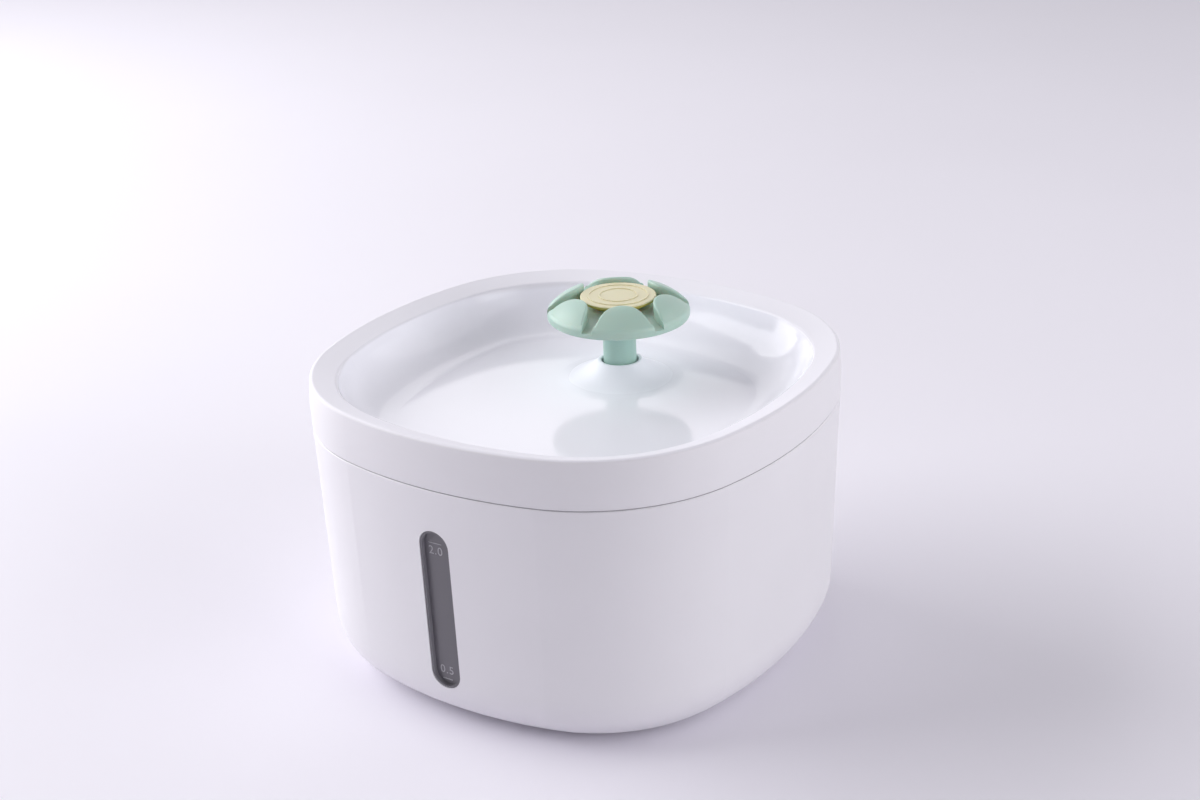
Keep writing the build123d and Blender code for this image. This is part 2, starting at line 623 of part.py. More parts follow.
# ---------------------------------------------------------------- filter
def filter_basket():
    """Round basket with a slotted floor and a chimney round the stem's sleeve."""
    basket = ring(BASKET_RADIUS, BASKET_RADIUS - BASKET_WALL, BASKET_Z, BASKET_TOP_Z)
    basket += ring(BASKET_RADIUS, CHIMNEY_INNER, BASKET_Z, BASKET_Z + BASKET_FLOOR)
    basket += ring(CHIMNEY_OUTER, CHIMNEY_INNER, BASKET_Z, BASKET_TOP_Z - CHIMNEY_DROP)
    for radius in GRID_RINGS:
        slot = SlotArc(CenterArc((0, 0), radius, 0, GRID_ARC), GRID_SLOT)
        for index in range(GRID_COUNT):
            place = Pos(0, FLOWER_Y, BASKET_Z) * Rot(0, 0, 360 / GRID_COUNT * index)
            basket -= place * extrude(slot, BASKET_FLOOR)
    return basket


def filter_frame():
    """Cartridge frame: two rings joined by spokes under the filter layers."""
    top = CARTRIDGE_Z + CARTRIDGE_HEIGHT
    frame = ring(CARTRIDGE_OUTER, CARTRIDGE_OUTER - CARTRIDGE_WALL, CARTRIDGE_Z, top)
    frame += ring(CARTRIDGE_INNER + CARTRIDGE_WALL, CARTRIDGE_INNER, CARTRIDGE_Z, top)
    start = CARTRIDGE_INNER + CARTRIDGE_WALL / 2
    length = CARTRIDGE_OUTER - CARTRIDGE_WALL / 2 - start
    spoke = Pos(start, 0, 0) * Box(
        length, SPOKE_WIDTH, SPOKE_HEIGHT, align=(Align.MIN, Align.CENTER, Align.MIN))
    for index in range(SPOKE_COUNT):
        frame += Pos(0, FLOWER_Y, CARTRIDGE_Z) * Rot(0, 0, 360 / SPOKE_COUNT * index) * spoke
    return frame


def filter_layers():
    """Plain soft layers in the frame, from the bottom up, each clear of its neighbours."""
    stack = (
        ("lower_cotton_pad", COTTON_THICKNESS),
        ("resin_pouch", RESIN_THICKNESS),
        ("carbon_pouch", CARBON_THICKNESS),
        ("upper_cotton_pad", COTTON_THICKNESS),
    )
    outer = CARTRIDGE_OUTER - CARTRIDGE_WALL - LAYER_GAP
    inner = CARTRIDGE_INNER + CARTRIDGE_WALL + LAYER_GAP
    bottom = CARTRIDGE_Z + SPOKE_HEIGHT + LAYER_GAP
    layers = {}
    for name, thickness in stack:
        layers[name] = ring(outer, inner, bottom, bottom + thickness)
        bottom += thickness + LAYER_GAP
    return layers


# ---------------------------------------------------------------- flower
def flower_stem():
    """Tube that stands in the tray's socket, with a seat for the seal at its foot."""
    stem = disc(STEM_RADIUS, SOCKET_Z, STEM_TOP_Z)
    stem = chamfer(stem.edges().group_by(Axis.Z)[0], STEM_CHAMFER)
    stem -= disc(STEM_BORE, SOCKET_Z - OVERCUT, STEM_TOP_Z + OVERCUT)
    return stem - disc(STEM_BORE + SEAL_SEAT, SOCKET_Z - OVERCUT, SOCKET_Z + SEAL_HEIGHT)


def stem_seal():
    outer = STEM_BORE + SEAL_SEAT - SEAL_GAP
    return ring(outer, TUBE_RADIUS + SEAL_GAP, SOCKET_Z + SEAL_GAP, SOCKET_Z + SEAL_HEIGHT - SEAL_GAP)


def petal_prism():
    """Tongue-shaped prism pointing along +X: a round end towards the axis and flaring sides."""
    flare = radians(PETAL_FLARE)
    centre = PETAL_TIP + PETAL_TIP_ROUNDING
    touch_x = centre - PETAL_TIP_ROUNDING * sin(flare)
    touch_y = PETAL_TIP_ROUNDING * cos(flare)
    far_x = HEAD_RADIUS + 2 * OVERCUT
    far_y = touch_y + (far_x - touch_x) * tan(flare)
    end = ThreePointArc((touch_x, -touch_y), (PETAL_TIP, 0), (touch_x, touch_y))
    sides = Polyline((touch_x, touch_y), (far_x, far_y), (far_x, -far_y), (touch_x, -touch_y))
    face = make_face([end, *sides.edges()])
    return extrude(Pos(0, 0, HEAD_Z) * face, PETAL_RISE + OVERCUT)


def petal_dome():
    """Turned form that the petals are cut from: a rounded back falling to an upright edge."""
    top = HEAD_Z + PETAL_RISE
    band_top = HEAD_Z + HEAD_EDGE_ROUNDING + HEAD_BAND
    shoulder = (HEAD_RADIUS - SHOULDER_INSET, band_top + SHOULDER_RISE)
    middle_x = (PETAL_TIP + shoulder[0]) / 2
    middle_z = (top + shoulder[1]) / 2
    chord_x = shoulder[0] - PETAL_TIP
    chord_z = top - shoulder[1]
    chord = sqrt(chord_x ** 2 + chord_z ** 2)
    bulge = (middle_x + PETAL_BULGE * chord_z / chord, middle_z + PETAL_BULGE * chord_x / chord)
    back = ThreePointArc((PETAL_TIP, top), bulge, shoulder)
    edge = TangentArc((HEAD_RADIUS, band_top), shoulder, tangent=(0, 1))
    rest = Polyline(
        (HEAD_RADIUS, band_top),
        (HEAD_RADIUS, HEAD_Z + CHANNEL_RISE / 2),
        (PETAL_TIP - OVERCUT, HEAD_Z + CHANNEL_RISE / 2),
        (PETAL_TIP - OVERCUT, top),
        (PETAL_TIP, top),
    )
    return spin([back, edge, *rest.edges()])


def flower_plate():
    """Dished plate under the petals, with the hub that turns on the stem."""
    upper = Polyline(
        (0, STEM_TOP_Z),
        (0, PLATE_Z),
        (PLATE_RADIUS, PLATE_Z),
        (HEAD_RADIUS, HEAD_Z + CHANNEL_RISE),
        (HEAD_RADIUS, HEAD_Z + HEAD_EDGE_ROUNDING),
    )
    edge = TangentArc(
        (HEAD_RADIUS, HEAD_Z + HEAD_EDGE_ROUNDING), (HEAD_RADIUS - HEAD_EDGE_ROUNDING, HEAD_Z), tangent=(0, -1))
    lower = Polyline(
        (HEAD_RADIUS - HEAD_EDGE_ROUNDING, HEAD_Z),
        (HEAD_RADIUS - HEAD_EDGE_ROUNDING - PLATE_THICKNESS, HEAD_Z),
        (PLATE_RADIUS, STEM_TOP_Z),
        (0, STEM_TOP_Z),
    )
    plate = spin([*upper.edges(), edge, *lower.edges()])
    hub_inner = STEM_RADIUS + HUB_GAP
    plate += ring(hub_inner + HUB_WALL, hub_inner, HEAD_Z, STEM_TOP_Z + PLATE_THICKNESS / 2)
    plate -= disc(hub_inner, HEAD_Z - OVERCUT, STEM_TOP_Z)
    return plate - disc(STEM_BORE, HEAD_Z, PLATE_Z + OVERCUT)


def flower_petals():
    """Six petals standing on a plate, with open channels between them for the water."""
    dome = petal_dome()
    flower = flower_plate()
    for index in range(PETAL_COUNT):
        turn = Rot(0, 0, PETAL_TURN + 360 / PETAL_COUNT * index)
        petal = dome & (Pos(0, FLOWER_Y, 0) * turn * petal_prism())
        upper = petal.edges().filter_by(lambda edge: edge.center().Z > PLATE_Z)
        flower += fillet(upper, PETAL_SOFTNESS)
    return flower


def flower_centre():
    """Cap with a skirt, on crossed fins that rest on the plate and plug into the stem's bore."""
    cap_top = CAP_Z + CAP_THICKNESS
    cap = disc(CAP_RADIUS, CAP_Z, cap_top)
    cap = fillet(cap.edges().group_by(Axis.Z)[-1], CAP_ROUNDING)
    for radius in RELIEF_RINGS:
        cap += ring(radius + RELIEF_WIDTH / 2, radius - RELIEF_WIDTH / 2, cap_top - RELIEF, cap_top + RELIEF)
    skirt = ring(SKIRT_RADIUS, SKIRT_RADIUS - SKIRT_WALL, PLATE_Z + SKIRT_GAP, CAP_Z)
    reach = STEM_BORE + POST_SHOULDER
    post = disc(STEM_BORE - POST_GAP, PLATE_Z - POST_LENGTH, CAP_Z) + disc(reach, PLATE_Z, CAP_Z)
    fins = Pos(0, FLOWER_Y, PLATE_Z - POST_LENGTH) * (
        Box(2 * reach, POST_FIN, POST_LENGTH + CAP_RISE, align=FROM_BELOW)
        + Box(POST_FIN, 2 * reach, POST_LENGTH + CAP_RISE, align=FROM_BELOW))
    return cap + skirt + (post & fins)


# ---------------------------------------------------------------- pump
def cup_places():
    """Centres of the suction cups under the pump."""
    front = PUMP_FRONT_X + CUP_MARGIN
    back = PUMP_END_X - CUP_MARGIN
    side = PUMP_WIDTH / 2 - CUP_MARGIN
    return [Pos(x, PUMP_Y + y, BASE_TOP_Z) for x in (front, back) for y in (-side, side)]


def coil_room():
    """Room for the motor behind the chamber, outside the rotor's well."""
    start = WELL_X + COIL_ROOM_START
    room = pump_prism(-COIL_ROOM_WALL, start, PUMP_END_X + OVERCUT)
    return room - bar(WELL_RADIUS + WELL_WALL, WELL_X, WELL_END_X + BUSH_LENGTH + WELL_WALL)


def pump_body():
    """Moulded housing: impeller's chamber, rotor's well, outlet boss and room for the motor."""
    body = pump_prism(0, PUMP_FRONT_X, PUMP_END_X)
    body += disc(BOSS_RADIUS, PUMP_TOP_Z, BOSS_Z)
    body -= coil_room()
    body -= bar(CHAMBER_RADIUS, PUMP_FRONT_X - OVERCUT, WELL_X)
    body -= bar(WELL_RADIUS, WELL_X - OVERCUT, WELL_END_X)
    body -= bar(BUSH_RADIUS + BUSH_FIT, WELL_END_X - OVERCUT, WELL_END_X + BUSH_LENGTH)
    body -= disc(DUCT_RADIUS, PUMP_Z, BOSS_Z)
    body -= disc(TUBE_RADIUS + TUBE_FIT, BOSS_Z - TUBE_SOCKET, BOSS_Z + OVERCUT)
    for place in cup_places():
        peg_hole = Cylinder(CUP_PEG_RADIUS + CUP_FIT, CUP_PEG_LENGTH + CUP_FIT, align=FROM_BELOW)
        body -= place * Pos(0, 0, CUP_HEIGHT) * peg_hole
    return body


def pump_front_cover():
    """Cover plate with the intake openings, the front bush's seat and the dial's stud and stops."""
    cover = pump_prism(0, COVER_FRONT_X, PUMP_FRONT_X)
    for index in range(INTAKE_COUNT):
        turn = 360 / INTAKE_COUNT * index
        cover -= sector(INTAKE_OUTER, INTAKE_INNER, INTAKE_ARC, COVER_FRONT_X - OVERCUT,
                        PUMP_FRONT_X + OVERCUT, turn)
    cover += bar(COVER_HUB_RADIUS, PUMP_FRONT_X - COVER_THICKNESS / 2, PUMP_FRONT_X + COVER_HUB_DEPTH)
    seat_start = PUMP_FRONT_X + COVER_HUB_DEPTH - BUSH_LENGTH
    cover -= bar(BUSH_RADIUS + BUSH_FIT, seat_start, PUMP_FRONT_X + COVER_HUB_DEPTH + OVERCUT)
    cover += bar(STUD_RADIUS, STUD_HEAD_X, COVER_FRONT_X)
    cover += bar(STUD_HEAD, STUD_END_X, STUD_HEAD_X)
    clear = degrees(atan((DIAL_TAB_WIDTH / 2 + STOP_RADIUS + DIAL_GAP) / STOP_REACH))
    for angle in (-clear, DIAL_TRAVEL + clear):
        y = PUMP_Y - STOP_REACH * sin(radians(angle))
        z = PUMP_Z + STOP_REACH * cos(radians(angle))
        cover += bar(STOP_RADIUS, STUD_HEAD_X, COVER_FRONT_X, y, z)
    return cover


def flow_dial():
    """Disc with the cover's openings and a finger tab that points up when the intake is open."""
    dial = bar(DIAL_RADIUS, DIAL_X - DIAL_THICKNESS, DIAL_X)
    tab_side = (PUMP_Y - DIAL_TAB_WIDTH / 2, PUMP_Y + DIAL_TAB_WIDTH / 2)
    dial += block((DIAL_X - DIAL_THICKNESS, DIAL_X), tab_side, (PUMP_Z + INTAKE_OUTER, PUMP_Z + DIAL_TAB))
    dial -= bar(STUD_RADIUS + DIAL_FIT, DIAL_X - DIAL_THICKNESS - OVERCUT, DIAL_X + OVERCUT)
    for index in range(INTAKE_COUNT):
        turn = 360 / INTAKE_COUNT * index
        dial -= sector(INTAKE_OUTER, INTAKE_INNER, INTAKE_ARC, DIAL_X - DIAL_THICKNESS - OVERCUT,
                       DIAL_X + OVERCUT, turn)
    return dial


def impeller():
    """Bladed disc with the core that carries the rotor's magnet."""
    front = PUMP_FRONT_X + IMPELLER_GAP
    back = WELL_X - IMPELLER_GAP
    wheel = bar(IMPELLER_RADIUS, back - IMPELLER_DISC, back)
    reach = IMPELLER_RADIUS - IMPELLER_HUB / 2
    blade = Pos(front, 0, IMPELLER_HUB / 2) * Box(
        back - IMPELLER_DISC - front, BLADE_THICKNESS, reach, align=(Align.MIN, Align.CENTER, Align.MIN))
    for index in range(BLADE_COUNT):
        wheel += Pos(0, PUMP_Y, PUMP_Z) * Rot(360 / BLADE_COUNT * index, 0, 0) * blade
    wheel &= bar(IMPELLER_RADIUS, front, back)
    wheel += bar(IMPELLER_HUB, front, WELL_X + IMPELLER_GAP + MAGNET_LENGTH)
    return wheel - bar(SHAFT_RADIUS + SHAFT_FIT, front - OVERCUT, WELL_END_X)


def rotor_magnet():
    start = WELL_X + IMPELLER_GAP
    magnet = bar(MAGNET_RADIUS, start, start + MAGNET_LENGTH)
    return magnet - bar(IMPELLER_HUB + MAGNET_FIT, start - OVERCUT, start + MAGNET_LENGTH + OVERCUT)


def shaft_ends():
    """Where the shaft starts and ends: at the bottom of each bush's seat."""
    return PUMP_FRONT_X + COVER_HUB_DEPTH - BUSH_LENGTH, WELL_END_X + BUSH_LENGTH


def impeller_shaft():
    start, end = shaft_ends()
    return bar(SHAFT_RADIUS, start, end)


def shaft_bushes():
    start, end = shaft_ends()
    bushes = []
    for low, high in ((start, start + BUSH_LENGTH), (end - BUSH_LENGTH, end)):
        bush = bar(BUSH_RADIUS, low, high)
        bushes.append(bush - bar(SHAFT_RADIUS + BUSH_FIT, low - OVERCUT, high + OVERCUT))
    return bushes


def stator_core():
    """U-shaped stack: two poles beside the rotor's well and a yoke behind it."""
    height = (PUMP_Z - CORE_WIDTH / 2, PUMP_Z + CORE_WIDTH / 2)
    outer = POLE_INNER + POLE_THICKNESS
    core = block((YOKE_X, YOKE_END_X), (PUMP_Y - outer, PUMP_Y + outer), height)
    core += block((POLE_X, YOKE_X), (PUMP_Y - outer, PUMP_Y - POLE_INNER), height)
    core += block((POLE_X, YOKE_X), (PUMP_Y + POLE_INNER, PUMP_Y + outer), height)
    return core


def stator_coil():
    """Winding round the yoke, between the poles."""
    side = (PUMP_Y - POLE_INNER + COIL_GAP, PUMP_Y + POLE_INNER - COIL_GAP)
    reach = CORE_WIDTH / 2 + COIL_WALL
    coil = block((YOKE_X - COIL_WALL, YOKE_END_X + COIL_WALL), side, (PUMP_Z - reach, PUMP_Z + reach))
    hole = (PUMP_Z - CORE_WIDTH / 2 - COIL_GAP, PUMP_Z + CORE_WIDTH / 2 + COIL_GAP)
    return coil - block((YOKE_X - COIL_GAP, YOKE_END_X + COIL_GAP), side, hole)


def potting_resin():
    """Resin that closes the tail of the pump behind the coil."""
    start = YOKE_END_X + COIL_WALL + RESIN_GAP
    resin = pump_prism(-COIL_ROOM_WALL, start, PUMP_END_X - TAIL_RIM)
    return resin - bar(BOOT_RADIUS, start - OVERCUT, PUMP_END_X, z=BOOT_Z)


def lead_boot():
    """Tapered rubber boot where the supply lead leaves the pump."""
    root = PUMP_END_X - TAIL_RIM - BOOT_ROOT
    length = BOOT_ROOT + BOOT_LENGTH
    boot = bar(BOOT_RADIUS, root, PUMP_END_X, z=BOOT_Z)
    taper = Cone(BOOT_RADIUS, BOOT_END_RADIUS, BOOT_LENGTH, align=FROM_BELOW)
    boot += Pos(PUMP_END_X, PUMP_Y, BOOT_Z) * Rot(0, 90, 0) * taper
    return boot - bar(BOOT_BORE, root + BOOT_ROOT, root + length + OVERCUT, z=BOOT_Z)


def suction_cups():
    cups = []
    for place in cup_places():
        cup = Cone(CUP_RADIUS, CUP_NECK, CUP_HEIGHT, align=FROM_BELOW)
        hollow = Cone(CUP_RADIUS - CUP_WALL, CUP_NECK / 2, CUP_HEIGHT - 2 * CUP_WALL, align=FROM_BELOW)
        peg = Cylinder(CUP_PEG_RADIUS, CUP_HEIGHT + CUP_PEG_LENGTH, align=FROM_BELOW)
        cups.append(place * (cup + peg - hollow))
    return cups


def outlet_tube():
    """Riser from the pump's outlet up into the stem, with a collar that seats on the boss."""
    bottom = BOSS_Z - TUBE_SOCKET
    top = SOCKET_Z + TUBE_REACH
    tube = disc(TUBE_RADIUS, bottom, top) + disc(TUBE_RADIUS + TUBE_COLLAR, BOSS_Z, BOSS_Z + TUBE_COLLAR)
    return tube - disc(TUBE_RADIUS - TUBE_WALL, bottom - OVERCUT, top + OVERCUT)


def pump_base_plate():
    """Plate on the tank's floor with an upstanding lip inside the cage."""
    plate = rounded_prism(CAGE_WALL, FLOOR_Z, BASE_TOP_Z)
    lip = rounded_prism(-BASE_LIP_FIT, FLOOR_Z, BASE_TOP_Z + BASE_LIP_HEIGHT)
    lip -= rounded_prism(-BASE_LIP_FIT - BASE_LIP_WALL, BASE_TOP_Z, BASE_TOP_Z + BASE_LIP_HEIGHT)
    return plate + lip


def prefilter_sponge():
    """Sponge wall round the pump, with a notch for the boot."""
    bottom = BASE_TOP_Z + SPONGE_GAP
    top = bottom + SPONGE_HEIGHT
    sponge = rounded_prism(-BASE_LIP_FIT - BASE_LIP_WALL - SPONGE_GAP, bottom, top)
    half = PUMP_WIDTH / 2 + SPONGE_PUMP_GAP
    inside = (STUD_END_X - SPONGE_PUMP_GAP, PUMP_END_X + SPONGE_PUMP_GAP)
    sponge -= block(inside, (PUMP_Y - half, PUMP_Y + half), (bottom - OVERCUT, top + OVERCUT))
    reach = BOOT_RADIUS + SPONGE_PUMP_GAP
    side = (PUMP_Y - reach, PUMP_Y + reach)
    return sponge - block((PUMP_END_X, CAGE_BACK_X), side, (BOOT_Z - reach, top + OVERCUT))


def slot_shifts(length):
    """Places of the cage's slots along a wall, evenly spaced about its middle."""
    count = int((length - 2 * CAGE_CORNER) // CAGE_SLOT_PITCH)
    return [(index - (count - 1) / 2) * CAGE_SLOT_PITCH for index in range(count)]


def prefilter_cage():
    """Slotted cover over the pump and its sponge, with a hole for the outlet tube."""
    top = BASE_TOP_Z + CAGE_HEIGHT
    cage = rounded_prism(CAGE_WALL, BASE_TOP_Z, top)
    cage = fillet(cage.edges().group_by(Axis.Z)[-1], CAGE_WALL)
    cage -= rounded_prism(0, BASE_TOP_Z - OVERCUT, top - CAGE_WALL)
    cage -= disc(TUBE_RADIUS + TUBE_COLLAR + CAGE_TUBE_GAP, BASE_TOP_Z, top + OVERCUT)
    rise = BASE_TOP_Z + CAGE_SLOT_RISE
    through_sides = Box(CAGE_SLOT, 2 * CAGE_WIDTH, CAGE_SLOT_HEIGHT, align=FROM_BELOW)
    through_ends = Box(2 * CAGE_LENGTH, CAGE_SLOT, CAGE_SLOT_HEIGHT, align=FROM_BELOW)
    for shift in slot_shifts(CAGE_LENGTH):
        cage -= Pos(CAGE_X + shift, PUMP_Y, rise) * through_sides
    for shift in slot_shifts(CAGE_WIDTH):
        cage -= Pos(CAGE_X, PUMP_Y + shift, rise) * through_ends
    half = LEAD_NOTCH_WIDTH / 2
    notch = ((PUMP_END_X, CAGE_BACK_X + 2 * CAGE_WALL), (PUMP_Y - half, PUMP_Y + half))
    return cage - block(*notch, (BASE_TOP_Z - OVERCUT, BOOT_Z + half))


# ---------------------------------------------------------------- write one file per piece
def pieces():
    """Every named piece with its solid, or its group of like solids."""
    named = {
        "water_tank": water_tank(),
        "rubber_feet": rubber_feet(),
        "level_window": level_window(),
        "window_gasket": window_gasket(),
        "cable_grommet": cable_grommet(),
        "drinking_tray": drinking_tray(),
        "filter_basket": filter_basket(),
        "filter_frame": filter_frame(),
        "flower_stem": flower_stem(),
        "stem_seal": stem_seal(),
        "flower_petals": flower_petals(),
        "flower_centre": flower_centre(),
        "pump_body": pump_body(),
        "pump_front_cover": pump_front_cover(),
        "flow_dial": flow_dial(),
        "impeller": impeller(),
        "rotor_magnet": rotor_magnet(),
        "impeller_shaft": impeller_shaft(),
        "shaft_bushes": shaft_bushes(),
        "stator_core": stator_core(),
        "stator_coil": stator_coil(),
        "potting_resin": potting_resin(),
        "lead_boot": lead_boot(),
        "suction_cups": suction_cups(),
        "outlet_tube": outlet_tube(),
        "pump_base_plate": pump_base_plate(),
        "prefilter_sponge": prefilter_sponge(),
        "prefilter_cage": prefilter_cage(),
    }
    named.update(filter_layers())
    return named


def solids_of(piece):
    """The separate solids of a piece, which may be one shape or a list of shapes."""
    shapes = piece if isinstance(piece, list) else [piece]
    return [solid for shape in shapes for solid in shape.solids()]


os.makedirs("parts", exist_ok=True)
for name, piece in pieces().items():
    solids = solids_of(piece)
    export_step(Compound(children=solids) if len(solids) > 1 else solids[0], f"parts/{name}.step")
    print(f"{name}: {len(solids)} solid(s), {sum(solid.volume for solid in solids):.1f} mm3")
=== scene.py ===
import json
from math import cos, pi, radians, sin

import bpy
from mathutils import Matrix, Vector, noise

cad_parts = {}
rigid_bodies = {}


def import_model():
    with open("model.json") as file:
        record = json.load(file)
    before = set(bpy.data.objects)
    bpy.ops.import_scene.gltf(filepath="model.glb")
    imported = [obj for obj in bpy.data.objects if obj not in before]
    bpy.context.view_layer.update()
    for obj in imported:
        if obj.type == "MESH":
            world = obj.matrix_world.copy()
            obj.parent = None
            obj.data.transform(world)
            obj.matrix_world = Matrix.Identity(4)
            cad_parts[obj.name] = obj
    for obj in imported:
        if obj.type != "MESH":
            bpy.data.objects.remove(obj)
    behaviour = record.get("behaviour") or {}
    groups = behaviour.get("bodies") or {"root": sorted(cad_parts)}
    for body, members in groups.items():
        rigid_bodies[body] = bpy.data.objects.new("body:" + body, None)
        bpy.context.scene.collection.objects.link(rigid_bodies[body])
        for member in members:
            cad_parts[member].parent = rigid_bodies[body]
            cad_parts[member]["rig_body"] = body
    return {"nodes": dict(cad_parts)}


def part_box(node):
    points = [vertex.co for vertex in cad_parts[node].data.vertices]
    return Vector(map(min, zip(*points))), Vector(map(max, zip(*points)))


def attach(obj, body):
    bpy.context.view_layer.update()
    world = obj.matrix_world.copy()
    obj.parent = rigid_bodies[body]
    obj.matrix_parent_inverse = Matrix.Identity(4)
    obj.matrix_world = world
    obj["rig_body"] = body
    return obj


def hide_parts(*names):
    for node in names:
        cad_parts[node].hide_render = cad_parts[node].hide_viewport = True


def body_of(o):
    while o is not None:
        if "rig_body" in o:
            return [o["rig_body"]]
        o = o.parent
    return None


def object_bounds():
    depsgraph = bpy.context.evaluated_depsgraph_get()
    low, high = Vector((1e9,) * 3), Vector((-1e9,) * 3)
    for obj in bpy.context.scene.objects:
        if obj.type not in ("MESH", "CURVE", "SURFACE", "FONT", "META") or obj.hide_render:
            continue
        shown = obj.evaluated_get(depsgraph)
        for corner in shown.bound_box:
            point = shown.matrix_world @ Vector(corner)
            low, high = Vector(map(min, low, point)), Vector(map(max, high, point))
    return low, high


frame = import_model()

cad_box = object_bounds()
nodes = frame["nodes"]
MM = 0.001
MICRON = 1e-6

# ---- Places on the fountain, worked out from the frame
petals_low, petals_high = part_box("flower_petals")
window_low, window_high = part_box("level_window")
PLATE_RISE = 5.0 * MM                            # petals' lower edge to the plate round the centre
DISC_RISE = 2.6 * MM                             # plate to the underside of the centre's disc
MOUTH_INSET = 10.1 * MM                          # the tray's outer face to the mouth of its bowl
FLOWER_Y = (petals_low.y + petals_high.y) / 2    # the flower's axis
PLATE_Z = petals_low.z + PLATE_RISE
DISC_Z = PLATE_Z + DISC_RISE
SEAM_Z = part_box("water_tank")[1].z               # between the tank and the tray
BOWL_HALF_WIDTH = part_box("drinking_tray")[1].x - MOUTH_INSET
BOWL_EXPONENT = 2.5                              # of the superellipse that its mouth follows

# ---- Marks on the level window: their line beside its middle, and heights from its middle
MARKS_SHIFT = -0.6 * MM
MARKS = {
    "full": dict(text="2.0", length=5.6 * MM, tick_rise=26.5 * MM, numeral_rise=23.4 * MM),
    "low": dict(text="0.5", length=4.3 * MM, tick_rise=-29.2 * MM, numeral_rise=-25.5 * MM),
}
MARK_PROUD = 0.02 * MM                           # a mark's middle plane off the pane
TICK_WIDTH = 0.35 * MM
NUMERAL_SIZE = 4.6 * MM
NUMERAL_DEPTH = 0.06 * MM                        # either side of that plane
NUMERAL_SPACING = 1.12

# ---- Soft goods
RING_TURNS = 216                                 # steps round a ring-shaped layer
RING_ROWS = 22                                   # steps across it
RING_LOOSENESS = 0.06                            # share of its thickness that comes and goes
RING_WAVES = 90.0                                # per metre
LAYER_SHIFT = 400.0                              # cells of that pattern, for each metre of height
PAD_EDGE = 0.35                                  # thickness at a cut edge, as a share of the full one
POUCH_WELD = 0.14                                # thickness at a weld, likewise
SPOKE_COUNT = 6                                  # welds across a pouch
SPOKE_HALF_WIDTH = 0.5 * MM
SPOKE_SLOPE = 3.5 * MM                           # a weld's edge to the full thickness
SPONGE_VOXEL = 1.3 * MM
SPONGE_SMOOTHING = 3                             # passes
SPONGE_DENT = 0.35 * MM
SPONGE_DENTS = 300.0                             # per metre

# ---- Camera: the view of the photograph
CAMERA_AIM = Vector((-12.2, 33.0, 83.9)) * MM    # point of the fountain at the frame's centre
CAMERA_AZIMUTH = 33.77                           # degrees round from the front, towards +X
CAMERA_ELEVATION = 22.55                         # degrees above the horizon
CAMERA_ROLL = -2.06                              # degrees
CAMERA_DISTANCE = 792.0 * MM
CAMERA_LENS = 59.2                               # millimetres
CAMERA_SENSOR = 36.0                             # millimetres across
CAMERA_RANGE = (0.01, 50.0)                      # metres

# ---- Studio: angles in degrees, as the camera's, and lengths in metres
FLOOR_RADIUS = 1.7
FLOOR_CORNERS = 64
LAMPS = {
    "key_light": dict(azimuth=-73.0, elevation=26.0, distance=1.6, width=1.7, height=1.5, watts=31.8),
    "fill_light": dict(azimuth=90.0, elevation=27.0, distance=1.9, width=1.3, height=1.3, watts=7.2),
    "low_light": dict(azimuth=88.0, elevation=14.0, distance=1.7, width=1.0, height=0.7, watts=6.7),
    "back_light": dict(azimuth=135.0, elevation=30.0, distance=2.2, width=1.6, height=1.6, watts=9.4),
    "rear_light": dict(azimuth=-130.0, elevation=36.0, distance=2.2, width=1.7, height=1.5, watts=7.0),
}
WORLD_LEVEL = 0.195                              # what the surfaces are lit with
BACKDROP_LEVEL = 1.2                             # what the camera and mirrored rays see

# ---- Colours, as eight-bit sRGB
SHELL_WHITE = (230, 228, 233)
# Painted light: the tray's faces that look upwards are painted lighter than its sides
UPWARD_PAINTED_LIGHT_WHITE = (241, 239, 247)
# Painted light: the bowl's white is painted lighter than the tray's, to offset the shade inside the bowl
BOWL_PAINTED_LIGHT_WHITE = (247, 246, 254)
# Painted shade: the grey of the seam between the tank and the tray
SEAM_SHADE_GREY = (158, 155, 161)
SMOKE = (111, 109, 115)
# Painted light: the lighter smoke of the window pocket's side
SMOKE_PAINTED_LIGHT = (142, 140, 147)
MARK_GREY = (168, 167, 172)
MINT = (171, 202, 190)
# Painted light: the lighter mint of the channels' floor near the centre
MINT_PAINTED_LIGHT = (208, 234, 225)
YELLOW = (224, 214, 175)
# Partly the plug's own olive, partly painted shade under the centre's disc
OLIVE_AND_SHADE = (182, 168, 82)
FOOT_GREY = (205, 204, 208)
SEAL_GREY = (215, 215, 215)
FILTER_WHITE = (233, 233, 236)
COTTON_WHITE = (240, 240, 238)
RESIN_BAG = (235, 232, 222)
RESIN_AMBER = (196, 150, 84)
CARBON_BAG = (214, 214, 214)
CARBON_BLACK = (30, 30, 32)
PUMP_BLACK = (38, 38, 41)
DIAL_GREY = (150, 152, 156)
IMPELLER_WHITE = (232, 232, 228)
FERRITE_BLACK = (48, 46, 46)
CERAMIC_WHITE = (238, 236, 228)
STEEL = (120, 122, 126)
STEEL_GAP = (50, 50, 54)
COPPER = (196, 112, 62)
COPPER_GAP = (88, 42, 20)
POTTING_BLACK = (22, 22, 24)
SPONGE_GREY = (62, 66, 72)
CAGE_GREY = (206, 208, 212)
STUDIO_WHITE = (244, 241, 250)


# ---------------------------------------------------------------- materials
def linear(colour, level=1.0):
    """Linear RGBA of an eight-bit sRGB colour, made lighter or darker by a level."""
    parts = []
    for part in colour:
        share = part / 255
        parts.append(share / 12.92 if share <= 0.04045 else ((share + 0.055) / 1.055) ** 2.4)
    return [min(1.0, part * level) for part in parts] + [1.0]


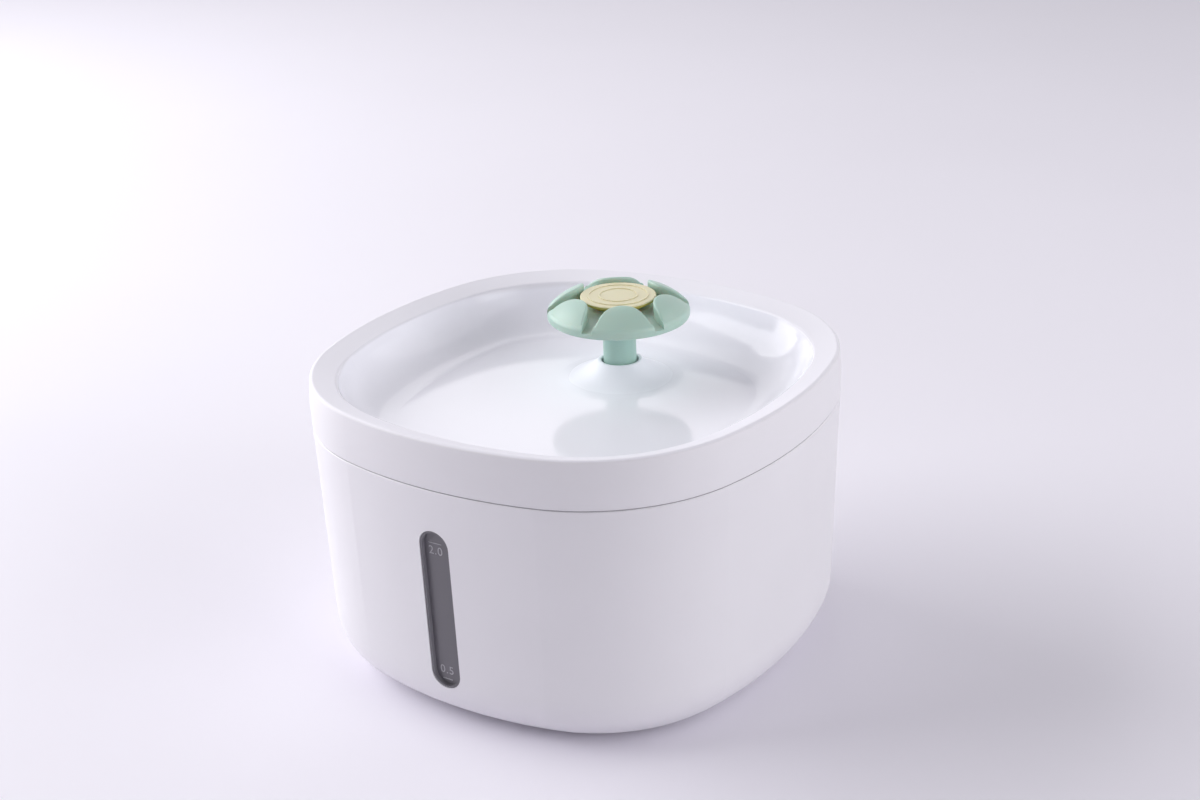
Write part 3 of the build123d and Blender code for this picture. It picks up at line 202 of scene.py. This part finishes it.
class Finish:
    """One material's nodes, with short calls that add and link them."""

    def __init__(self, name, roughness, **sockets):
        self.name = name
        self.material = bpy.data.materials.new(name + "_finish")
        self.material.use_nodes = True
        self.tree = self.material.node_tree
        self.surface = self.tree.nodes["Principled BSDF"]
        self.surface.inputs["Roughness"].default_value = roughness
        for socket, value in sockets.items():
            self.surface.inputs[socket.replace("_", " ")].default_value = value
        self.place = self.add("TexCoord").outputs["Object"]

    def set_or_link(self, target, value):
        """Gives a socket a value, or links it to the output that stands in the value's place."""
        if isinstance(value, bpy.types.NodeSocket):
            self.tree.links.new(value, target)
        else:
            target.default_value = value

    def add(self, kind, inputs=None, **settings):
        """New shader node."""
        node = self.tree.nodes.new("ShaderNode" + kind)
        for setting, value in settings.items():
            setattr(node, setting, value)
        for socket, value in (inputs or {}).items():
            self.set_or_link(node.inputs[socket], value)
        return node

    def feed(self, output, socket):
        """Links an output to a socket of the surface shader."""
        self.tree.links.new(output, self.surface.inputs[socket])

    def maths(self, operation, first, second=0.0):
        """Result of an operation on one or two numbers."""
        return self.add("Math", {0: first, 1: second}, operation=operation).outputs[0]

    def product(self, first, *others):
        """All the factors multiplied together."""
        for other in others:
            first = self.maths("MULTIPLY", first, other)
        return first

    def height(self):
        """Height above the floor, with the fountain at rest."""
        return self.add("SeparateXYZ", {"Vector": self.place}).outputs["Z"]

    def facing(self, axis):
        """How far the surface faces along an axis of the object, from -1 to 1."""
        normal = self.add("TexCoord").outputs["Normal"]
        return self.add("SeparateXYZ", {"Vector": normal}).outputs[axis]

    def noise(self, per_metre, detail=2.0, place=None):
        """Soft uneven pattern, mostly between 0.3 and 0.7."""
        inputs = {"Vector": self.place if place is None else place, "Scale": per_metre, "Detail": detail}
        return self.add("TexNoise", inputs).outputs["Fac"]

    def cells(self, per_metre):
        """Distance from the middle of the nearest cell, in cells."""
        return self.add("TexVoronoi", {"Vector": self.place, "Scale": per_metre}).outputs["Distance"]

    def between(self, factor, low, high, start=0.3, end=0.7, **settings):
        """A number that goes from low to high as factor goes from start to end."""
        inputs = {"Value": factor, "From Min": start, "From Max": end, "To Min": low, "To Max": high}
        return self.add("MapRange", inputs, **settings).outputs["Result"]

    def rise(self, factor, start, end, **settings):
        """0 up to start and 1 from end."""
        return self.between(factor, 0.0, 1.0, start, end, **settings)

    def fall(self, factor, start, end):
        """1 up to start and 0 from end."""
        return self.between(factor, 1.0, 0.0, start, end)

    def mix(self, factor, first, second):
        """A colour between two, by a factor."""
        node = self.add("Mix", {"Factor": factor}, data_type="RGBA")
        for socket, value in (("A", first), ("B", second)):
            target = next(s for s in node.inputs if s.name == socket and s.type == "RGBA")
            self.set_or_link(target, value)
        return next(s for s in node.outputs if s.type == "RGBA")

    def bump(self, height, depth, strength=1.0, below=None):
        """Normal for a height from 0 to 1, depth metres high, on top of another normal if given."""
        inputs = {"Height": height, "Distance": depth, "Strength": strength}
        if below is not None:
            inputs["Normal"] = below
        return self.add("Bump", inputs).outputs["Normal"]

    def shade(self, colour, spread=0.02, per_metre=14.0):
        """Colour that drifts slightly lighter and darker over the surface."""
        drift = self.between(self.noise(per_metre), 0.0, 1.0)
        return self.mix(drift, linear(colour, 1 - spread), linear(colour, 1 + spread))


def moulded(name, colour, roughness, grain=12 * MICRON, spread=0.02, tint=None, **sockets):
    """Injection-moulded plastic: even colour, slightly uneven gloss, slow waves and a fine grain."""
    patches, unevenness = 60.0, 0.08                         # per metre, and a share of the roughness
    waves, wave_height, wave_strength = 58.33, grain * 6, 0.5
    grains = 1666.67                                         # per metre, as the waves
    finish = Finish(name, roughness, **sockets)
    base = finish.shade(colour, spread)
    finish.feed(tint(finish, base) if tint else base, "Base Color")
    smooth, rough = roughness * (1 - unevenness), roughness * (1 + unevenness)
    finish.feed(finish.between(finish.noise(patches), smooth, rough), "Roughness")
    wavy = finish.bump(finish.noise(waves), wave_height, wave_strength)
    finish.feed(finish.bump(finish.noise(grains), grain, below=wavy), "Normal")
    return finish


def from_axis(finish):
    """Distance from the flower's upright axis."""
    flat = finish.add("Mapping", {"Vector": finish.place, "Location": (0, -FLOWER_Y, 0), "Scale": (1, 1, 0)})
    return finish.add("VectorMath", {0: flat.outputs[0]}, operation="LENGTH").outputs["Value"]


def bowl_mask(finish):
    """1 inside the mouth of the drinking bowl, 0 on the land and the band."""
    half_fade = 0.5 * MM
    axes = finish.add("SeparateXYZ", {"Vector": finish.place}).outputs
    powers = [finish.maths("POWER", finish.maths("ABSOLUTE", axes[axis]), BOWL_EXPONENT) for axis in "XY"]
    reach = finish.maths("POWER", finish.maths("ADD", *powers), 1 / BOWL_EXPONENT)
    return finish.fall(reach, BOWL_HALF_WIDTH - half_fade, BOWL_HALF_WIDTH + half_fade)


def seam_painted_shade(finish, base):
    """Painted shade: darkens the hair-wide gap between the tank and the tray, at their outer faces, for the
    shade in the seam.
    """
    full, gone = 0.1 * MM, 0.25 * MM                         # distances from the seam
    distance = finish.maths("ABSOLUTE", finish.maths("SUBTRACT", finish.height(), SEAM_Z))
    near = finish.fall(distance, full, gone)
    outside = finish.fall(bowl_mask(finish), 0.0, 1.0)
    upright = finish.fall(finish.facing("Z"), start=0.8, end=0.9)
    return finish.mix(finish.product(near, outside, upright), base, linear(SEAM_SHADE_GREY))


def collar_olive_and_shade(finish, base):
    """The centre's collar under the disc, with the lowest part of the disc's side, is olive: partly the
    plug's own deeper colour, partly painted shade under the disc.
    """
    full, gone = 0.7 * MM, 0.8 * MM                          # heights above the disc's underside
    low = finish.fall(finish.height(), DISC_Z + full, DISC_Z + gone)
    return finish.mix(low, base, linear(OLIVE_AND_SHADE))


def pocket_side_painted_light(finish, base):
    """Painted light: the side of the window's pocket that faces +X is painted lighter than the pane, to
    offset the shade in the pocket.
    """
    sideways = finish.rise(finish.facing("X"), start=0.15, end=0.6)
    return finish.mix(sideways, base, linear(SMOKE_PAINTED_LIGHT))


def channel_painted_light(finish, base):
    """Painted light: the channels' floor near the centre is painted lighter, to offset the shade under the
    disc and between the petals.
    """
    lit_full, lit_gone = 0.1 * MM, 0.5 * MM                # heights above the plate
    end_gone, end_full = -3.5 * MM, -3.0 * MM                # and below it, at the channels' ends
    inner, outer = 14.0 * MM, 24.0 * MM                      # distances from the flower's axis
    height = finish.height()
    below = finish.fall(height, PLATE_Z + lit_full, PLATE_Z + lit_gone)
    above = finish.rise(height, PLATE_Z + end_gone, PLATE_Z + end_full)
    near = finish.fall(from_axis(finish), inner, outer)
    return finish.mix(finish.product(below, above, near), base, linear(MINT_PAINTED_LIGHT))


def tray_white(name):
    """Satin on the band, the land and the cone, polished in the rest of the bowl; painted lighter on upward
    faces, and lighter still in the bowl.
    """
    satin, polished = 0.42, 0.09                             # roughness
    patches, unevenness = 45.0, 0.02                         # per metre, and in roughness
    cone_top, cone_foot = 12.0 * MM, 30.0 * MM               # distances from the flower's axis
    grains, grain = 1600.0, 8 * MICRON                       # per metre, and their height
    finish = Finish(name, satin, Specular_IOR_Level=0.3)
    inside = bowl_mask(finish)
    upward = finish.rise(finish.facing("Z"), start=0.5, end=0.8)
    # Painted light: faces that look upwards are painted lighter than the sides
    shell = finish.mix(upward, linear(SHELL_WHITE), linear(UPWARD_PAINTED_LIGHT_WHITE))
    # Painted light: the bowl is painted lighter still, to offset the shade inside it
    white = finish.mix(inside, shell, linear(BOWL_PAINTED_LIGHT_WHITE))
    finish.feed(seam_painted_shade(finish, white), "Base Color")
    drift = finish.between(finish.noise(patches), -unevenness, unevenness)
    beside = finish.rise(from_axis(finish), cone_top, cone_foot, interpolation_type="SMOOTHSTEP")
    gloss = finish.between(finish.product(inside, beside), satin, polished, 0.0, 1.0)
    finish.feed(finish.maths("ADD", gloss, drift), "Roughness")
    finish.feed(finish.bump(finish.noise(grains), grain), "Normal")
    return finish


def fibres(name, colour):
    """Matted cotton: crossed streaks of fine fibres."""
    along, across, through = 400.0, 2600.0, 900.0            # streaks per metre
    streak_height = 250 * MICRON
    finish = Finish(name, roughness=0.95, Sheen_Weight=0.3, Sheen_Roughness=0.5)
    finish.feed(finish.shade(colour, spread=0.06, per_metre=250.0), "Base Color")
    streaks = []
    for scale in ((along, across, through), (across, along, through)):
        way = finish.add("Mapping", {"Vector": finish.place, "Scale": scale}).outputs[0]
        streaks.append(finish.noise(1.0, detail=4.0, place=way))
    finish.feed(finish.bump(finish.maths("MAXIMUM", *streaks), streak_height), "Normal")
    return finish


def bag_cloth(name, colour, granule, granule_size):
    """Thin non-woven cloth over granules that press through and darken it."""
    darkening, reach = 0.55, 0.7                             # at a granule's middle, and out from it
    press, press_strength = granule_size * 0.35, 0.8
    threads, thread_height, thread_strength = 1500.0, 60 * MICRON, 0.6
    finish = Finish(name, roughness=0.85, Sheen_Weight=0.15)
    cells = finish.cells(1 / granule_size)
    through = finish.between(cells, darkening, 0.0, 0.0, reach)
    finish.feed(finish.mix(through, linear(colour), linear(granule)), "Base Color")
    grains = finish.bump(finish.fall(cells, 0.0, 1.0), press, press_strength)
    weave = finish.noise(threads, detail=4.0)
    finish.feed(finish.bump(weave, thread_height, thread_strength, below=grains), "Normal")
    return finish


def foam(name, colour):
    """Open-cell foam: pores painted darker than the thin walls between them, as painted shade in their
    hollows.
    """
    pore_shade_level, pore_depth, pore_strength = 0.35, 400 * MICRON, 0.9
    finish = Finish(name, roughness=0.95)
    pores = finish.fall(finish.cells(per_metre=900.0), start=0.15, end=0.6)
    # Painted shade: the pores are painted darker, for the shade in their hollows
    finish.feed(finish.mix(pores, linear(colour), linear(colour, pore_shade_level)), "Base Color")
    finish.feed(finish.bump(pores, -pore_depth, pore_strength), "Normal")
    return finish


def striped(name, colour, gap, axis, period, roughness):
    """Thin parallel layers, as in a stack of laminations or a winding."""
    finish = Finish(name, roughness, Metallic=0.9)
    inputs = {"Vector": finish.place, "Scale": 1 / (pi * period), "Distortion": 0.4}
    wave = finish.add("TexWave", inputs, bands_direction=axis).outputs["Fac"]
    layers = finish.rise(wave, start=0.1, end=0.5)
    finish.feed(finish.mix(layers, linear(gap), linear(colour)), "Base Color")
    finish.feed(finish.bump(wave, period / 4), "Normal")
    return finish


def finishes():
    """The finish of every material slot in the record, by the slot's name."""
    made = [
        moulded("shell_white", SHELL_WHITE, roughness=0.42, grain=8 * MICRON, tint=seam_painted_shade),
        tray_white("tray_white"),
        moulded("window_smoke", SMOKE, roughness=0.3, grain=8 * MICRON, tint=pocket_side_painted_light,
                Specular_IOR_Level=0.4),
        moulded("foot_rubber", FOOT_GREY, roughness=0.75, grain=40 * MICRON),
        moulded("seal_rubber", SEAL_GREY, roughness=0.6, grain=20 * MICRON),
        moulded("filter_white", FILTER_WHITE, roughness=0.45, grain=15 * MICRON),
        fibres("cotton", COTTON_WHITE),
        bag_cloth("resin_cloth", RESIN_BAG, RESIN_AMBER, granule_size=0.9 * MM),
        bag_cloth("carbon_cloth", CARBON_BAG, CARBON_BLACK, granule_size=1.4 * MM),
        moulded("petal_green", MINT, roughness=0.36, tint=channel_painted_light, Subsurface_Weight=0.08),
        moulded("centre_yellow", YELLOW, roughness=0.4, grain=20 * MICRON, tint=collar_olive_and_shade,
                Subsurface_Weight=0.08),
        moulded("pump_black", PUMP_BLACK, roughness=0.5, grain=30 * MICRON),
        moulded("dial_grey", DIAL_GREY, roughness=0.45),
        moulded("impeller_white", IMPELLER_WHITE, roughness=0.35),
        moulded("ferrite", FERRITE_BLACK, roughness=0.55, grain=30 * MICRON),
        moulded("shaft_ceramic", CERAMIC_WHITE, roughness=0.2),
        striped("core_steel", STEEL, STEEL_GAP, axis="Z", period=0.5 * MM, roughness=0.4),
        striped("coil_copper", COPPER, COPPER_GAP, axis="X", period=0.3 * MM, roughness=0.35),
        moulded("potting_black", POTTING_BLACK, roughness=0.25, grain=20 * MICRON, spread=0.1),
        foam("sponge", SPONGE_GREY),
        moulded("cage_grey", CAGE_GREY, roughness=0.45),
    ]
    return {finish.name: finish for finish in made}


def dress(finish_of):
    """Gives each node of the frame the finish of its material slot."""
    for node in nodes.values():
        for slot in node.material_slots:
            slot.material = finish_of[slot.material.name.split(".")[0]].material


# ---------------------------------------------------------------- new objects
def add_object(name, data):
    """New object in the scene."""
    piece = bpy.data.objects.new(name, data)
    bpy.context.scene.collection.objects.link(piece)
    return piece


def worked_out_mesh(holder):
    """Mesh that an object's curve or modifiers give. The object is then removed."""
    bpy.context.view_layer.update()
    worked_out = holder.evaluated_get(bpy.context.evaluated_depsgraph_get())
    mesh = bpy.data.meshes.new_from_object(worked_out)
    bpy.data.objects.remove(holder)
    return mesh


# ---------------------------------------------------------------- marks on the level window
def window_place(rise):
    """Matrix that puts a drawing on the pane: its X along the window, its Y up it, its Z outwards."""
    across, inwards = Vector((1, 0, 0)), Vector((0, 1, 0))
    middle = (window_low + window_high) / 2
    start = Vector((middle.x + MARKS_SHIFT, 2 * window_low.y, middle.z + rise))
    _, point, normal, _ = nodes["level_window"].ray_cast(start, inwards)
    upwards = normal.cross(across).normalized()
    turn = Matrix((across, upwards, normal)).transposed().to_4x4()
    return Matrix.Translation(point + normal * MARK_PROUD) @ turn


def mark_piece(name, mesh, rise, finish):
    """Printed mark that rides on the tank."""
    piece = add_object(name, mesh)
    piece.matrix_world = window_place(rise)
    mesh.materials.clear()
    mesh.materials.append(finish.material)
    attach(piece, "tank")


def numeral_mesh(text):
    """Thin raised figures."""
    curve = bpy.data.curves.new("numeral", "FONT")
    curve.body = text
    curve.size = NUMERAL_SIZE
    curve.space_character = NUMERAL_SPACING
    curve.extrude = NUMERAL_DEPTH
    curve.align_x = "CENTER"
    curve.align_y = "CENTER"
    return worked_out_mesh(add_object("drawing", curve))


def tick_mesh(length):
    """Thin round bar."""
    curve = bpy.data.curves.new("tick", "CURVE")
    curve.dimensions = "3D"
    curve.bevel_depth = TICK_WIDTH / 2
    curve.bevel_resolution = 3
    curve.use_fill_caps = True
    spline = curve.splines.new("POLY")
    spline.points.add(1)
    for point, x in zip(spline.points, (-length / 2, length / 2)):
        point.co = (x, 0, 0, 1)
    return worked_out_mesh(add_object("drawing", curve))


def level_marks():
    """A tick and a numeral for each level."""
    finish = moulded("mark", MARK_GREY, roughness=0.6)
    for level, mark in MARKS.items():
        mark_piece(level + "_tick", tick_mesh(mark["length"]), mark["tick_rise"], finish)
        mark_piece(level + "_numeral", numeral_mesh(mark["text"]), mark["numeral_rise"], finish)


# ---------------------------------------------------------------- filter media and sponge
def ring_of(node):
    """Centre, inner and outer radius, and height of a ring-shaped node."""
    low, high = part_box(node)
    centre = (low + high) / 2
    _, inside, _, _ = nodes[node].ray_cast(centre, Vector((1, 0, 0)))
    return centre, inside.x - centre.x, high.x - centre.x, high.z - low.z


def uneven(place):
    """Smooth uneven pattern, from 0 to 1, whose cells are one unit wide."""
    return 0.5 + 0.5 * noise.noise(place)


def neighbours(row, turn):
    """Numbers of a vertex in a ring and of the next one round."""
    first = row * RING_TURNS
    return first + turn, first + (turn + 1) % RING_TURNS


def soft_ring(node, finish, thickness_at):
    """Soft layer in place of a ring-shaped node, as thick as thickness_at says, from 0 to 1."""
    centre, inner, outer, height = ring_of(node)
    vertices, faces = [], []
    for side in (1, -1):
        shift = Vector((0, 0, centre.z * LAYER_SHIFT + side))
        for row in range(RING_ROWS + 1):
            across = row / RING_ROWS
            radius = inner + (outer - inner) * across
            for turn in range(RING_TURNS):
                angle = 2 * pi * turn / RING_TURNS
                around = Vector((cos(angle), sin(angle), 0))
                loose = uneven(around * radius * RING_WAVES + shift)
                share = thickness_at(across, angle, radius) * (1 - RING_LOOSENESS + RING_LOOSENESS * loose)
                vertices.append(centre + around * radius + Vector((0, 0, side * height / 2 * share)))
    layer = RING_TURNS * (RING_ROWS + 1)
    for row in range(RING_ROWS):
        for turn in range(RING_TURNS):
            here, beside = neighbours(row, turn)
            corners = [here, beside, beside + RING_TURNS, here + RING_TURNS]
            faces.append([layer + corner for corner in corners])
            faces.append(corners[::-1])
    for row in (0, RING_ROWS):
        for turn in range(RING_TURNS):
            here, beside = neighbours(row, turn)
            wall = [here, beside, layer + beside, layer + here]
            faces.append(wall if row == 0 else wall[::-1])
    soft_piece(node, finish, vertices, faces)


def soft_piece(node, finish, vertices, faces):
    """Smooth-shaded piece that stands for a soft node and rides on its body."""
    mesh = bpy.data.meshes.new("soft_" + node)
    mesh.from_pydata(vertices, [], faces)
    mesh.materials.append(finish.material)
    for polygon in mesh.polygons:
        polygon.use_smooth = True
    piece = add_object("soft_" + node, mesh)
    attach(piece, body_of(nodes[node])[0])
    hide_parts(node)


def ease(value):
    """Smooth step from 0 to 1."""
    value = min(max(value, 0.0), 1.0)
    return value * value * (3 - 2 * value)


def pad_thickness(across, _angle, _radius):
    """Die-cut cotton: full nearly everywhere, pinched at the two cut edges."""
    pinched, bulge = 0.09, 0.6
    edge = min(across, 1 - across)
    return PAD_EDGE + (1 - PAD_EDGE) * ease(edge / pinched) ** bulge


def pouch_thickness(across, angle, radius):
    """Pouch welded at both rims and at its spokes, and puffed up between the welds."""
    weld, slope, bulge = 0.06, 0.16, 0.7
    rim = ease((min(across, 1 - across) - weld) / slope)
    part = 2 * pi / SPOKE_COUNT
    from_spoke = radius * abs((angle + part / 2) % part - part / 2)
    spoke = ease((from_spoke - SPOKE_HALF_WIDTH) / SPOKE_SLOPE)
    return POUCH_WELD + (1 - POUCH_WELD) * rim ** bulge * spoke ** bulge


def foam_block(node, finish):
    """Foam in place of a node: the same block with worn edges and an uneven surface."""
    source = nodes[node].copy()
    source.data = nodes[node].data.copy()
    bpy.context.scene.collection.objects.link(source)
    remesh = source.modifiers.new("remesh", "REMESH")
    remesh.mode = "VOXEL"
    remesh.voxel_size = SPONGE_VOXEL
    smooth = source.modifiers.new("smooth", "SMOOTH")
    smooth.iterations = SPONGE_SMOOTHING
    rounded = worked_out_mesh(source)
    vertices = []
    for vertex in rounded.vertices:
        dent = uneven(vertex.co * SPONGE_DENTS)
        vertices.append(vertex.co - vertex.normal * SPONGE_DENT * dent)
    faces = [list(polygon.vertices) for polygon in rounded.polygons]
    soft_piece(node, finish, vertices, faces)


def soft_goods(finish_of):
    """The filter's layers, from the lowest up, and the sponge."""
    soft_ring("lower_cotton_pad", finish_of["cotton"], pad_thickness)
    soft_ring("resin_pouch", finish_of["resin_cloth"], pouch_thickness)
    soft_ring("carbon_pouch", finish_of["carbon_cloth"], pouch_thickness)
    soft_ring("upper_cotton_pad", finish_of["cotton"], pad_thickness)
    foam_block("prefilter_sponge", finish_of["sponge"])


# ---------------------------------------------------------------- studio
def direction(azimuth, elevation):
    """Direction given by an azimuth, round from the front towards +X, and an elevation."""
    turn, rise = radians(azimuth), radians(elevation)
    return Vector((sin(turn) * cos(rise), -cos(turn) * cos(rise), sin(rise)))


def lamp(name, azimuth, elevation, distance, width, height, watts):
    """Soft box that faces the fountain's middle from a direction."""
    data = bpy.data.lights.new(name, "AREA")
    data.shape = "RECTANGLE"
    data.size = width
    data.size_y = height
    data.energy = watts
    piece = add_object(name, data)
    away = direction(azimuth, elevation)
    piece.location = (cad_box[0] + cad_box[1]) / 2 + away * distance
    piece.rotation_mode = "QUATERNION"
    piece.rotation_quaternion = away.to_track_quat("Z", "Y")


def studio_floor():
    """Round floor under the fountain."""
    mesh = bpy.data.meshes.new("studio_floor")
    corners = []
    for step in range(FLOOR_CORNERS):
        angle = 2 * pi * step / FLOOR_CORNERS
        corners.append((FLOOR_RADIUS * cos(angle), FLOOR_RADIUS * sin(angle), 0))
    mesh.from_pydata(corners, [], [list(range(FLOOR_CORNERS))])
    floor = add_object("studio_floor", mesh)
    finish = Finish("studio_floor", roughness=0.8, Specular_IOR_Level=0.1)
    finish.feed(finish.shade(STUDIO_WHITE, spread=0.01, per_metre=3.0), "Base Color")
    mesh.materials.append(finish.material)


def world():
    """White surroundings, dim as a light and bright where they are seen or mirrored."""
    surroundings = bpy.data.worlds.new("studio")
    surroundings.use_nodes = True
    tree = surroundings.node_tree
    surface = tree.nodes["Background"]
    surface.inputs["Color"].default_value = linear(STUDIO_WHITE)
    rays = tree.nodes.new("ShaderNodeLightPath")
    seen = tree.nodes.new("ShaderNodeMath")
    seen.operation = "MAXIMUM"
    level = tree.nodes.new("ShaderNodeMapRange")
    level.inputs["To Min"].default_value = WORLD_LEVEL
    level.inputs["To Max"].default_value = BACKDROP_LEVEL
    tree.links.new(rays.outputs["Is Camera Ray"], seen.inputs[0])
    tree.links.new(rays.outputs["Is Glossy Ray"], seen.inputs[1])
    tree.links.new(seen.outputs[0], level.inputs["Value"])
    tree.links.new(level.outputs["Result"], surface.inputs["Strength"])
    bpy.context.scene.world = surroundings


def camera():
    """The photograph's view."""
    data = bpy.data.cameras.new("camera")
    data.sensor_width = CAMERA_SENSOR
    data.lens = CAMERA_LENS
    data.clip_start, data.clip_end = CAMERA_RANGE
    piece = add_object("camera", data)
    turn, roll = radians(CAMERA_AZIMUTH), radians(CAMERA_ROLL)
    back = direction(CAMERA_AZIMUTH, CAMERA_ELEVATION)
    level = Vector((cos(turn), sin(turn), 0))
    upright = back.cross(level)
    right = cos(roll) * level + sin(roll) * upright
    up = cos(roll) * upright - sin(roll) * level
    axes = Matrix((right, up, back)).transposed().to_4x4()
    piece.matrix_world = Matrix.Translation(CAMERA_AIM + back * CAMERA_DISTANCE) @ axes
    bpy.context.scene.camera = piece


finish_of = finishes()
dress(finish_of)
soft_goods(finish_of)
level_marks()
for name, settings in LAMPS.items():
    lamp(name, **settings)
studio_floor()
world()
camera()
bpy.context.scene.view_settings.view_transform = "Standard"
